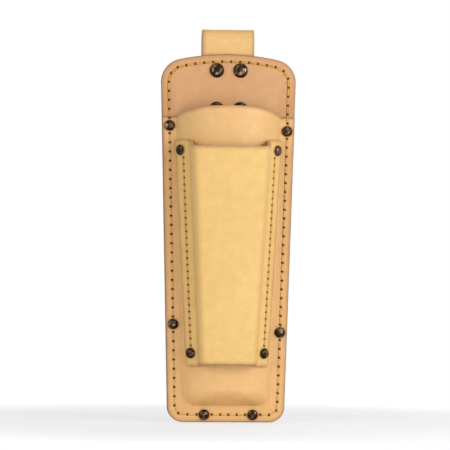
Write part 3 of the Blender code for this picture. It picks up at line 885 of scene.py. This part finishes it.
def pouch_grid():
    """The right half of the pouch's inner face: rows from its outer edge in to the middle line."""
    rim = [lower_half(i, i, BOTTOM_CORNER_RADIUS - i, POUCH_RIM_TOP, RIM_COUNTS) for i in RIM_INSETS]
    foot = lower_half(POUCH_RIM_WIDTH, POUCH_FOOT, POUCH_FOOT_RADIUS, POUCH_RIM_TOP, RIM_COUNTS)
    rows = [np.stack([r[:, 0], np.full(len(r), RIM_BACK), r[:, 1]], 1) for r in rim]
    last = rim[-1]
    for step in range(1, WALL_STEPS):
        flat = last + (foot - last) * step / WALL_STEPS
        rows.append(np.stack([flat[:, 0], np.full(len(flat), RIM_BACK), flat[:, 1]], 1))
    crease_row = len(rows)
    side_start = foot[RIM_COUNTS[0] + RIM_COUNTS[1], 1]
    climb = np.maximum(0, foot[:, 1] - side_start) / (POUCH_RIM_TOP - side_start)
    spine = between((POUCH_FOOT + POUCH_TOE_LENGTH, POUCH_MOUTH), climb)
    rounding = between((TOE_POWER, DOME_POWER), np.minimum(1, 10 * climb))
    for step in range(DOME_ROWS + 1):
        reach = 1 - (step / DOME_ROWS) ** 1.25
        height = spine + (foot[:, 1] - spine) * reach**rounding
        widening = side_x(POUCH_RIM_WIDTH, height) / side_x(POUCH_RIM_WIDTH, foot[:, 1])
        depth = pouch_depth(height) * (1 - reach**DOME_POWER)
        rows.append(np.stack([foot[:, 0] * widening * reach, RIM_BACK - depth, height], 1))
    grid = np.array(rows)
    return smooth_rows(grid, crease_row, POUCH_CREASE_SMOOTHING)


def pouch_crease_shade(points):
    """Painted shade: darker where the rim turns up into the moulded wall, and a little less dark over the
    rest of the rim.
    """
    x, z = points[:, 0], points[:, 2] - PANEL_LOW.z
    side = np.abs(np.abs(x) - side_x(POUCH_RIM_WIDTH, z))
    foot = np.where(np.abs(x) < side_x(POUCH_RIM_WIDTH, z), np.abs(z - POUCH_FOOT), 1)
    beyond = np.maximum(np.abs(x) - side_x(POUCH_RIM_WIDTH, z), POUCH_FOOT - z)
    rim = RIM_SHADE * np.clip(beyond / (2 * MM), 0, 1)
    return np.maximum(rim, np.exp(-((np.minimum(side, foot) / POUCH_CREASE_WIDTH) ** 2)))


def split_at_gaps(flat):
    """The hole places of a run, parted where it leaves the pouch's rim and comes back."""
    steps = np.linalg.norm(np.diff(flat, axis=0), axis=1)
    return np.split(flat, np.where(steps > 2 * SEAM_PITCH)[0] + 1)


def make_main_pouch():
    sheet = both_halves(pouch_grid())
    dents = Dents()
    for flat in SEAM_RUNS.values():
        for part in split_at_gaps(flat[is_on_rim(flat)]):
            add_seam(dents, holes_in_front(part))
    dents.rivets = [(r.seat, r.cap_radius) for r in rivets_named("seam_rivet")]
    materials = [POUCH_GRAIN, FLESH, CUT_EDGE, LIP_EDGE]
    lip = PANEL_LOW.z + POUCH_RIM_TOP + 1 * MM
    piece = ("main_pouch", "pouch_leather")
    leather("pouch_shell", sheet, FRONT, POUCH_THICKNESS, materials, *piece, dents, pouch_crease_shade, lip)


POCKET_ROWS = 300
FLANGE_SHARES = (0.02, 0.06, 0.12, 0.2, 0.27, 0.32, 0.36, 0.4, 0.44, 0.48, 0.52, 0.57, 0.64, 0.74, 0.87)


def pocket_grid():
    """The right half of the front pocket's inner face: rows across, from its low end to its high end."""
    share = np.linspace(0, 1, POCKET_ROWS)

    def height(forward):
        low = POCKET_BOTTOM + POCKET_HEM_RISE * forward
        return between((low, POCKET_TOP - POCKET_LIP_DROP * forward), share)

    edge, foot = pocket_x(POCKET_EDGE_INSETS, share), pocket_x(POCKET_FOOT_INSETS, share)
    columns = []
    for k in FLANGE_SHARES:
        columns.append(over_dome(edge + (foot - edge) * k, height(0), POCKET_LIFT))
    root = over_dome(foot, height(0), POCKET_LIFT)
    face = over_dome(0 * foot, height(1), POCKET_LIFT + between(POCKET_ROOM, share))[:, 1]
    side = pocket_x(POCKET_FACE_INSETS, share)
    radius = POCKET_CORNER_RADIUS
    crease_column = len(columns)
    for q in np.linspace(0, 1, 16)[:-1]:
        x = root[:, 0] + (side - root[:, 0]) * q
        y = root[:, 1] + (face + radius - root[:, 1]) * q
        columns.append(np.stack([x, y, height(0.8 * q)], 1))
    for a in np.linspace(0, math.pi / 2, 9):
        x = side - radius + radius * math.cos(a)
        y = face + radius - radius * math.sin(a)
        columns.append(np.stack([x, y, height(0.8 + 0.4 * a / math.pi)], 1))
    for q in np.linspace(1, 0, 15)[1:]:
        bulge = POCKET_CROWN * (1 - q * q)
        columns.append(np.stack([(side - radius) * q, face - bulge, height(1)], 1))
    grid = np.array(columns)
    return smooth_rows(grid, crease_column, POCKET_CREASE_SMOOTHING)


# Painted shade along the line where the pocket's flange turns up into its wall
def pocket_crease_shade(points):
    x, z = np.abs(points[:, 0]), points[:, 2] - PANEL_LOW.z
    share = np.clip((z - POCKET_BOTTOM) / (POCKET_TOP - POCKET_BOTTOM), 0, 1)
    return np.exp(-(((x - pocket_x(POCKET_FOOT_INSETS, share)) / POCKET_CREASE_WIDTH) ** 2))


def make_front_pocket():
    sheet = both_halves(pocket_grid())
    dents = Dents()
    for side in (-1, 1):
        holes, _ = pocket_holes(side, POCKET_LIFT + POCKET_THICKNESS)
        add_seam(dents, holes)
    dents.rivets = [(r.seat, r.cap_radius) for r in rivets_named("pocket_rivet")]
    materials = [POCKET_GRAIN, FLESH, LIP_EDGE]
    piece = ("front_pocket", "pouch_leather")
    leather("pocket_shell", sheet, FRONT, POCKET_THICKNESS, materials, *piece, dents, pocket_crease_shade)


def strap_line():
    """The strap's middle line, (depth, height), from its front end over the fold to its back end."""
    fold_height = STRAP_HIGH.z - PANEL_LOW.z - STRAP_THICKNESS / 2 - STRAP_FOLD_RADIUS
    upper, lower = (BACK_HEIGHT - d for d in STRAP_RIVET_DROPS)
    slope_end = lower + STRAP_TAIL
    slope_start = slope_end + STRAP_SLOPE_LENGTH
    middle = (STRAP_NEAR + STRAP_FAR) / 2
    fold_centre = np.array([middle, fold_height])
    share = spread(28)
    swing = (1 + np.cos(math.pi * share)) / 2
    depth = STRAP_NEAR + (STRAP_FAR - STRAP_NEAR) * swing
    tail_end = (STRAP_NEAR, lower - STRAP_TAIL)
    stretches = [
        line((STRAP_NEAR, upper - STRAP_TAIL), (STRAP_NEAR, fold_height), spread(STRAP_LEG_ROWS)),
        around(fold_centre, STRAP_FOLD_RADIUS, math.pi * (1 - spread(STRAP_FOLD_ROWS))),
        line((STRAP_FAR, fold_height), (STRAP_FAR, slope_start), spread(34)),
        np.stack([depth, slope_start - share * STRAP_SLOPE_LENGTH], 1),
        line((STRAP_NEAR, slope_end), tail_end, np.append(spread(20), 1)),
    ]
    return np.concatenate(stretches)


def fold_wrinkles(travelled, x):
    """How far the strap's surface sinks in the small wrinkles either side of its fold."""
    past = travelled - travelled[FOLD_MIDDLE]
    wave = np.sin(2 * math.pi * past / WRINKLE_SPACING + 1.3 * math.sin(x / (5 * MM)))
    return WRINKLE_DEPTH * (1 + wave) / 2 * np.exp(-((past / WRINKLED_LENGTH) ** 2))


def make_belt_strap():
    middle = strap_line()
    tangent = np.gradient(middle, axis=0)
    tangent /= np.linalg.norm(tangent, axis=1, keepdims=True)
    inwards = np.stack([tangent[:, 1], -tangent[:, 0]], 1)
    inner = middle + STRAP_THICKNESS / 2 * inwards
    inner[0] += EDGE_ROUND * tangent[0]
    inner[-1] -= EDGE_ROUND * tangent[-1]
    half = (STRAP_HIGH.x - STRAP_LOW.x) / 2 - EDGE_ROUND
    travelled = along_line(middle)
    columns = []
    for x in half * (1 - np.linspace(0, 1, 26) ** 1.2):
        wrinkled = inner + fold_wrinkles(travelled, x)[:, None] * inwards
        columns.append(np.stack([np.full(len(inner), x), wrinkled[:, 0], wrinkled[:, 1]], 1))
    sheet = both_halves(np.array(columns))
    materials = [STRAP_GRAIN, FLESH, LIP_EDGE]
    piece = ("belt_strap", "strap_leather")
    leather("strap_strip", sheet, strap_facing(*sheet), STRAP_THICKNESS, materials, *piece)


def strap_facing(points, faces):
    """The strap folds right over, so its grain side is told by its tail, which faces the wearer."""
    bm = welded(points, faces, Vector(FRONT))
    middles = {f: f.calc_center_median() for f in bm.faces}
    tail = min(bm.faces, key=lambda f: (round(middles[f].y, 6), middles[f].z))
    turned = tail.normal.y < 0
    bm.free()
    return BACK if turned else FRONT


# ---------------------------------------------------------------- rivets and seams


CAP_SIDES = 40
SMALL_BASE_HEIGHT = 1.3 * MM
LARGE_BASE_HEIGHT = 1.5 * MM


def cap_profile(radius, height):
    """(radius, height) down a cap's outside, from its crown over a rolled rim to its underside."""
    rim = 0.28 * height
    profile = []
    for a in np.linspace(0, 1.45, 12):
        profile.append((radius * 0.93 * math.sin(a), rim + (height - rim) * math.cos(a)))
    for a in np.linspace(0.6, 2.6, 7):
        profile.append((radius * (0.93 + 0.07 * math.sin(a)), rim * (0.55 + 0.45 * math.cos(a))))
    return profile + [(radius * 0.8, 0.0), (0.0, 0.0)]


def turned_cap(name, radius, height, seat, axis, node):
    profile = cap_profile(radius, height)
    mesh = bpy.data.meshes.new(name)
    bm = bmesh.new()
    frame_up = Vector(axis).to_track_quat("Z", "Y").to_matrix()
    rings = []
    for r, h in profile:
        if r == 0:
            rings.append([bm.verts.new(Vector(seat) + frame_up @ Vector((0, 0, h)))])
            continue
        angles = 2 * math.pi * spread(CAP_SIDES)
        ring = [Vector((r * math.cos(a), r * math.sin(a), h)) for a in angles]
        rings.append([bm.verts.new(Vector(seat) + frame_up @ p) for p in ring])
    for upper, lower in zip(rings, rings[1:]):
        for k in range(CAP_SIDES):
            here, there = k, k + 1
            quad = [upper[here % len(upper)], lower[here % len(lower)]]
            quad += [lower[there % len(lower)], upper[there % len(upper)]]
            bm.faces.new(list(dict.fromkeys(quad)))
    bmesh.ops.recalc_face_normals(bm, faces=bm.faces)
    bm.to_mesh(mesh)
    bm.free()
    heights = np.array([(Vector(v.co) - Vector(seat)).dot(Vector(axis)) for v in mesh.vertices])
    # Darker towards the cap's rim, fully dark at its underside
    cap_rim_darkening = np.clip(1 - heights / (0.34 * height), 0, 1)
    paint(mesh, edge=cap_rim_darkening)
    mesh.materials.append(NICKEL)
    mesh.shade_smooth()
    return show(name, mesh, node)


def make_rivets():
    for name, rivet in RIVETS.items():
        cap = (rivet.cap_radius, rivet.cap_height)
        turned_cap(name + "_crown", *cap, rivet.seat, rivet.axis, name + "_cap")
        base_height = LARGE_BASE_HEIGHT if name.startswith("strap") else SMALL_BASE_HEIGHT
        seat = rivet.on_axis(rivet.back_end + base_height)
        turned_cap(name + "_base", rivet.base_radius, base_height, seat, -rivet.axis, name + "_post")


def make_seams():
    for (start, end), flat in SEAM_RUNS.items():
        front = np.tile(np.array(FRONT, float), (len(flat), 1))
        run = f"{start}_to_{end}"
        on_top = start == "top_right"
        thread, sink = (THREAD, THREAD_SINK) if on_top else (PALE_THREAD, THREAD_DEEP_SINK)
        needle = "needle_thread_" + run
        stitches("needle_stitches_" + run, holes_in_front(flat), front, needle, POUCH_RIM_TOP, sink, thread)
        stitches("bobbin_stitches_" + run, holes_behind(flat), -front, "bobbin_thread_" + run)
    for name, side in (("left", -1), ("right", 1)):
        holes, normals = pocket_holes(side, POCKET_LIFT + POCKET_THICKNESS)
        needle = "pocket_needle_thread_" + name
        stitches("pocket_needle_stitches_" + name, holes, normals, needle, 1.0, THREAD_DEEP_SINK, PALE_THREAD)
        holes, normals = pocket_holes(side, 0)
        stitches("pocket_bobbin_stitches_" + name, holes, -normals, "pocket_bobbin_thread_" + name)


# ---------------------------------------------------------------- the room


def make_camera():
    data = bpy.data.cameras.new("camera")
    data.lens = data.sensor_width * VIEW_DISTANCE / VIEW_WIDTH
    data.clip_start, data.clip_end = 0.05, 20
    camera = bpy.data.objects.new("camera", data)
    bpy.context.scene.collection.objects.link(camera)
    aim = Vector(to_frame(VIEW_AIM))
    back = Vector((math.sin(VIEW_AZIMUTH), -math.cos(VIEW_AZIMUTH), 0))
    camera.location = aim + back * VIEW_DISTANCE
    look = (-back).to_track_quat("-Z", "Y")
    camera.rotation_mode = "QUATERNION"
    camera.rotation_quaternion = look @ roll_about_view(VIEW_ROLL)
    bpy.context.scene.camera = camera


def roll_about_view(angle):
    return Quaternion((0, 0, 1), -angle)


def area_light(name, azimuth, elevation, distance, size, power):
    data = bpy.data.lights.new(name, "AREA")
    data.shape = "RECTANGLE"
    data.size, data.size_y = size
    data.energy = power
    light = bpy.data.objects.new(name, data)
    bpy.context.scene.collection.objects.link(light)
    a, e = math.radians(azimuth), math.radians(elevation)
    back = Vector((math.sin(a) * math.cos(e), -math.cos(a) * math.cos(e), math.sin(e)))
    light.location = Vector(to_frame(VIEW_AIM)) + back * distance
    light.rotation_euler = (-back).to_track_quat("-Z", "Y").to_euler()


def make_world():
    world = bpy.data.worlds.new("studio")
    bpy.context.scene.world = world
    world.use_nodes = True
    tree = world.node_tree
    tree.nodes.clear()
    path = tree.nodes.new("ShaderNodeLightPath")
    seen = tree.nodes.new("ShaderNodeMath")
    seen.operation = "MAXIMUM"
    tree.links.new(path.outputs["Is Camera Ray"], seen.inputs[0])
    through = tree.nodes.new("ShaderNodeMath")
    through.operation = "MAXIMUM"
    tree.links.new(path.outputs["Is Glossy Ray"], through.inputs[0])
    tree.links.new(path.outputs["Is Transmission Ray"], through.inputs[1])
    tree.links.new(through.outputs[0], seen.inputs[1])
    white = tree.nodes.new("ShaderNodeBackground")
    white.inputs["Color"].default_value = rgb(1, 1, 1)
    fill = tree.nodes.new("ShaderNodeBackground")
    fill.inputs["Color"].default_value = rgb(1, 1, 1)
    fill.inputs["Strength"].default_value = 0.40
    mix = tree.nodes.new("ShaderNodeMixShader")
    tree.links.new(seen.outputs[0], mix.inputs["Fac"])
    tree.links.new(fill.outputs[0], mix.inputs[1])
    tree.links.new(white.outputs[0], mix.inputs[2])
    out = tree.nodes.new("ShaderNodeOutputWorld")
    tree.links.new(mix.outputs[0], out.inputs["Surface"])


def make_floor():
    """A pale round floor just under the sheath, which fades into the white around it."""
    bpy.ops.mesh.primitive_circle_add(vertices=96, radius=0.6, fill_type="NGON")
    floor = bpy.context.object
    floor.name = "floor"
    floor.location = (0, 0, PANEL_LOW.z - 0.4 * MM)
    n = Nodes("pale_floor")
    spread_out = n.add("ShaderNodeVectorMath", operation="LENGTH")
    n.join(n.place, spread_out.inputs[0])
    fade = n.range(spread_out.outputs["Value"], 0.08, 0.26, 1.0, 0.0)
    n.finish(Base_Color=rgb(0.86, 0.86, 0.86), Roughness=0.9, Alpha=fade)
    glow = n.add("ShaderNodeEmission")
    mix = n.add("ShaderNodeMixShader")
    seen = n.add("ShaderNodeLightPath").outputs["Is Camera Ray"]
    n.join(n.math("MULTIPLY", n.math("MULTIPLY", seen, 0.6), fade), mix.inputs["Fac"])
    n.join(n.shader.outputs["BSDF"], mix.inputs[1])
    n.join(glow.outputs["Emission"], mix.inputs[2])
    n.join(mix.outputs["Shader"], n.tree.nodes["Material Output"].inputs["Surface"])
    floor.data.materials.append(n.material)


make_camera()
make_world()
area_light("key", 40, 10, 0.65, (0.36, 0.42), 1.7)
area_light("glint", 52, 22, 0.65, (0.13, 0.16), 0.6)
area_light("fill", -42, 14, 1.4, (0.8, 0.8), 5.9)
area_light("low", 12, -12, 0.9, (0.6, 0.3), 1.2)
area_light("behind", 160, 20, 1.4, (0.8, 0.8), 3.5)
make_floor()
make_back_panel()
make_back_liner()
make_main_pouch()
make_front_pocket()
make_belt_strap()
make_rivets()
make_seams()

bpy.context.scene.view_settings.view_transform = "Standard"
